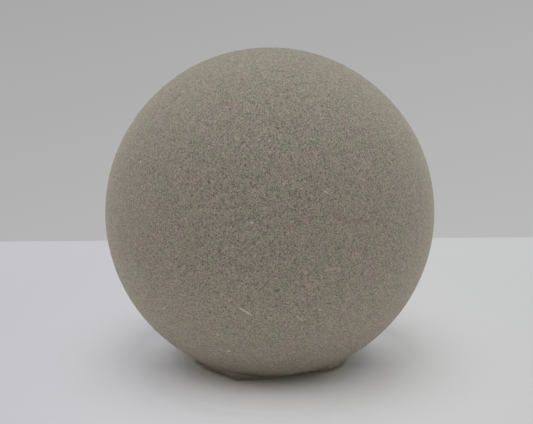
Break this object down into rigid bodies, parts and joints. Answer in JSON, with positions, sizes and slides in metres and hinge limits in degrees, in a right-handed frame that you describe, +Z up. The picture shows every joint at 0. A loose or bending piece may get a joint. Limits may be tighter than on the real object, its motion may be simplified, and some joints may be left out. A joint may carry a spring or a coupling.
{
  "type": "stone garden sphere",
  "caption": "Solid ball of sandy cast stone, one piece with a low broken foot left of its pouring neck, that stands on the foot's flat underside as a garden ornament.",
  "frame": {"origin": "on the ground, at the middle of the foot's flat underside, straight under the ball's centre", "axes": "+Z up along the ball's upright axis; -Y is the front, where the foot lost most of its rim; +X is to the right seen from the front"},
  "size_m": [0.2, 0.2, 0.193],
  "materials": {
    "stone": "matt"
  },
  "bodies": {
    "root": {"stone_ball": "stone"}
  },
  "joints": []
}
